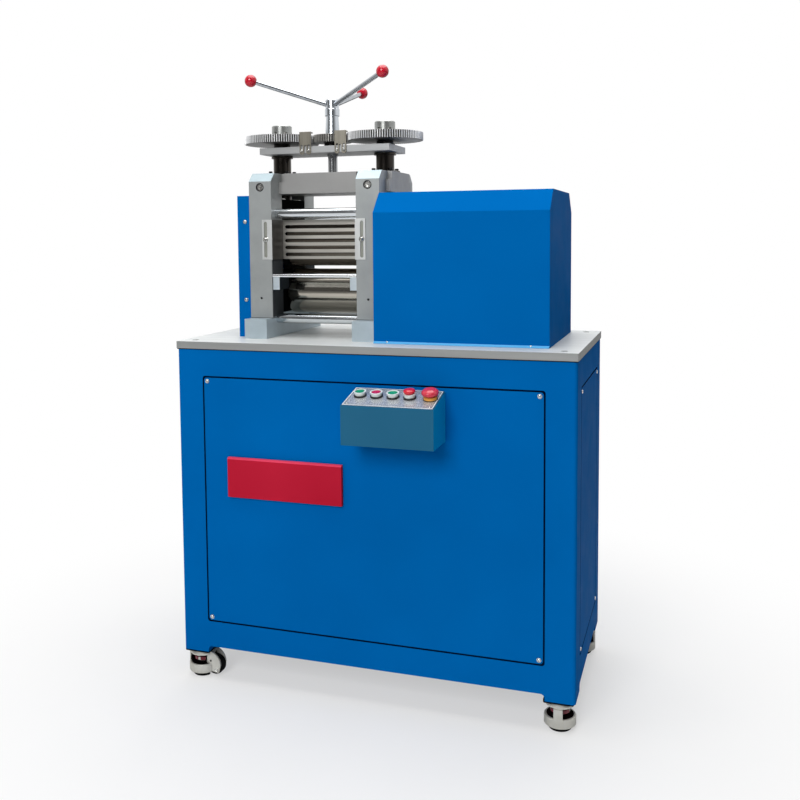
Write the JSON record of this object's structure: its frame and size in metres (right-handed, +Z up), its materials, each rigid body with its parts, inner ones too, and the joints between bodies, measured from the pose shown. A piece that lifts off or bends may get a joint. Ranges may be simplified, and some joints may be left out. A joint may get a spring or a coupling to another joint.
{
  "type": "jewelry rolling mill",
  "caption": "Electric jewelry rolling mill: steel rolls in a housed stand with a geared screw-down handle, on a blue sheet-steel cabinet with a control box and levelling casters.",
  "frame": {"origin": "on the floor, at the centre of the machine's footprint", "axes": "+Z up, +X to the operator's right, +Y away from the operator"},
  "size_m": [1.006, 0.6098, 1.5593],
  "materials": {
    "cabinet_frame": "gloss blue powder coat",
    "front_panel": "gloss blue powder coat",
    "back_panel": "gloss blue powder coat",
    "left_panel": "gloss blue powder coat",
    "right_panel": "gloss blue powder coat",
    "floor_pan": "blue powder coat",
    "table_plate": "ground steel, pale grey",
    "left_housing": "machined casting, satin grey",
    "right_housing": "machined casting, satin grey",
    "crosshead": "machined casting, satin grey",
    "tie_rods": "polished",
    "left_cover": "gloss blue powder coat",
    "right_cover": "gloss blue powder coat",
    "front_guard": "bent sheet, satin",
    "rear_guard": "bent sheet, satin",
    "feed_tables": "bright",
    "feed_brackets": "satin",
    "lower_chocks": "black oxide",
    "screw_flanges": "black oxide",
    "control_box": "grey-blue paint",
    "control_label_plate": "speckled silver",
    "button_bezels": "pale",
    "blank_plate": "gloss red",
    "caster_plates": "black",
    "bridge_bar": "satin grey",
    "gear_clips": "dull",
    "upper_chocks": "black oxide",
    "handle_shaft": "polished",
    "pinion": "cut teeth, dark",
    "handle_sleeve": "polished",
    "handle_hub": "polished",
    "handle_arms": "polished",
    "handle_knobs": "glossy red",
    "left_screw": "black oxide, oiled",
    "left_screw_gear": "cut teeth, bright",
    "left_locknut": "dull",
    "right_screw": "black oxide, oiled",
    "right_screw_gear": "cut teeth, bright",
    "right_locknut": "dull",
    "lower_roll": "ground and polished",
    "upper_roll": "ground and polished",
    "button_1": "green",
    "button_2": "red",
    "button_3": "green",
    "button_4": "red",
    "emergency_stop": "red",
    "caster_front_left": "die cast",
    "caster_wheel_front_left": "black nylon",
    "caster_front_right": "die cast",
    "caster_wheel_front_right": "black nylon",
    "caster_back_right": "die cast",
    "caster_wheel_back_right": "black nylon",
    "caster_back_left": "die cast",
    "caster_wheel_back_left": "black nylon"
  },
  "bodies": {
    "frame": {"cabinet_frame": "cabinet_frame", "front_panel": "front_panel", "back_panel": "back_panel", "left_panel": "left_panel", "right_panel": "right_panel", "floor_pan": "floor_pan", "table_plate": "table_plate", "left_housing": "left_housing", "right_housing": "right_housing", "crosshead": "crosshead", "tie_rods": "tie_rods", "left_cover": "left_cover", "right_cover": "right_cover", "front_guard": "front_guard", "rear_guard": "rear_guard", "feed_tables": "feed_tables", "feed_brackets": "feed_brackets", "lower_chocks": "lower_chocks", "screw_flanges": "screw_flanges", "control_box": "control_box", "control_label_plate": "control_label_plate", "button_bezels": "button_bezels", "blank_plate": "blank_plate", "caster_plates": "caster_plates"},
    "carriage": {"bridge_bar": "bridge_bar", "gear_clips": "gear_clips", "upper_chocks": "upper_chocks"},
    "handle": {"handle_shaft": "handle_shaft", "pinion": "pinion", "handle_sleeve": "handle_sleeve", "handle_hub": "handle_hub", "handle_arms": "handle_arms", "handle_knobs": "handle_knobs"},
    "left_screw": {"left_screw": "left_screw", "left_screw_gear": "left_screw_gear", "left_locknut": "left_locknut"},
    "right_screw": {"right_screw": "right_screw", "right_screw_gear": "right_screw_gear", "right_locknut": "right_locknut"},
    "lower_roll": {"lower_roll": "lower_roll"},
    "upper_roll": {"upper_roll": "upper_roll"},
    "button_1": {"button_1": "button_1"},
    "button_2": {"button_2": "button_2"},
    "button_3": {"button_3": "button_3"},
    "button_4": {"button_4": "button_4"},
    "emergency_stop": {"emergency_stop": "emergency_stop"},
    "caster_front_left": {"caster_front_left": "caster_front_left"},
    "caster_wheel_front_left": {"caster_wheel_front_left": "caster_wheel_front_left"},
    "caster_front_right": {"caster_front_right": "caster_front_right"},
    "caster_wheel_front_right": {"caster_wheel_front_right": "caster_wheel_front_right"},
    "caster_back_right": {"caster_back_right": "caster_back_right"},
    "caster_wheel_back_right": {"caster_wheel_back_right": "caster_wheel_back_right"},
    "caster_back_left": {"caster_back_left": "caster_back_left"},
    "caster_wheel_back_left": {"caster_wheel_back_left": "caster_wheel_back_left"}
  },
  "joints": [
    {"name": "carriage_slide", "type": "slide", "parent": "frame", "child": "carriage", "axis": [0, 0, 1], "range_m": [-0.0065, 0.008]},
    {"name": "handle_spin", "type": "hinge", "parent": "carriage", "child": "handle", "pos_m": [-0.181, 0.0761, 1.394], "axis": [0, 0, 1], "range_deg": [-1151, 935]},
    {"name": "left_screw_spin", "type": "hinge", "parent": "carriage", "child": "left_screw", "pos_m": [-0.328, 0.0761, 1.394], "axis": [0, 0, 1], "range_deg": [-468, 576]},
    {"name": "right_screw_spin", "type": "hinge", "parent": "carriage", "child": "right_screw", "pos_m": [-0.034, 0.0761, 1.394], "axis": [0, 0, 1], "range_deg": [-468, 576]},
    {"name": "lower_roll_spin", "type": "hinge", "parent": "frame", "child": "lower_roll", "pos_m": [-0.181, 0.0761, 0.991], "axis": [1, 0, 0], "continuous": true},
    {"name": "upper_roll_spin", "type": "hinge", "parent": "carriage", "child": "upper_roll", "pos_m": [-0.181, 0.0761, 1.118], "axis": [1, 0, 0], "continuous": true},
    {"name": "button_1_press", "type": "slide", "parent": "frame", "child": "button_1", "axis": [0, 0.2359, -0.9718], "range_m": [0, 0.003], "stiffness_N_per_m": 600, "springref_m": -0.001},
    {"name": "button_2_press", "type": "slide", "parent": "frame", "child": "button_2", "axis": [0, 0.2359, -0.9718], "range_m": [0, 0.003], "stiffness_N_per_m": 600, "springref_m": -0.001},
    {"name": "button_3_press", "type": "slide", "parent": "frame", "child": "button_3", "axis": [0, 0.2359, -0.9718], "range_m": [0, 0.003], "stiffness_N_per_m": 600, "springref_m": -0.001},
    {"name": "button_4_press", "type": "slide", "parent": "frame", "child": "button_4", "axis": [0, 0.2359, -0.9718], "range_m": [0, 0.003], "stiffness_N_per_m": 600, "springref_m": -0.001},
    {"name": "emergency_stop_press", "type": "slide", "parent": "frame", "child": "emergency_stop", "axis": [0, 0.2359, -0.9718], "range_m": [0, 0.003]},
    {"name": "front_left_swivel", "type": "hinge", "parent": "frame", "child": "caster_front_left", "pos_m": [-0.467, -0.1619, 0.069], "axis": [0, 0, 1], "continuous": true},
    {"name": "front_left_wheel_spin", "type": "hinge", "parent": "caster_front_left", "child": "caster_wheel_front_left", "pos_m": [-0.431, -0.1619, 0.027], "axis": [0, -1, 0], "continuous": true},
    {"name": "front_right_swivel", "type": "hinge", "parent": "frame", "child": "caster_front_right", "pos_m": [0.46, -0.1619, 0.069], "axis": [0, 0, 1], "continuous": true},
    {"name": "front_right_wheel_spin", "type": "hinge", "parent": "caster_front_right", "child": "caster_wheel_front_right", "pos_m": [0.46, -0.1259, 0.027], "axis": [1, 0, 0], "continuous": true},
    {"name": "back_right_swivel", "type": "hinge", "parent": "frame", "child": "caster_back_right", "pos_m": [0.46, 0.2581, 0.069], "axis": [0, 0, 1], "continuous": true},
    {"name": "back_right_wheel_spin", "type": "hinge", "parent": "caster_back_right", "child": "caster_wheel_back_right", "pos_m": [0.424, 0.2581, 0.027], "axis": [0, 1, 0], "continuous": true},
    {"name": "back_left_swivel", "type": "hinge", "parent": "frame", "child": "caster_back_left", "pos_m": [-0.46, 0.2581, 0.069], "axis": [0, 0, 1], "continuous": true},
    {"name": "back_left_wheel_spin", "type": "hinge", "parent": "caster_back_left", "child": "caster_wheel_back_left", "pos_m": [-0.46, 0.2221, 0.027], "axis": [-1, 0, 0], "continuous": true}
  ],
  "couplings": [
    {"joint": "left_screw_spin", "follows": "handle_spin", "ratio": -0.5},
    {"joint": "right_screw_spin", "follows": "handle_spin", "ratio": -0.5},
    {"joint": "carriage_slide", "follows": "handle_spin", "m_per_rad": -0.00039789},
    {"joint": "upper_roll_spin", "follows": "lower_roll_spin", "ratio": -1}
  ]
}
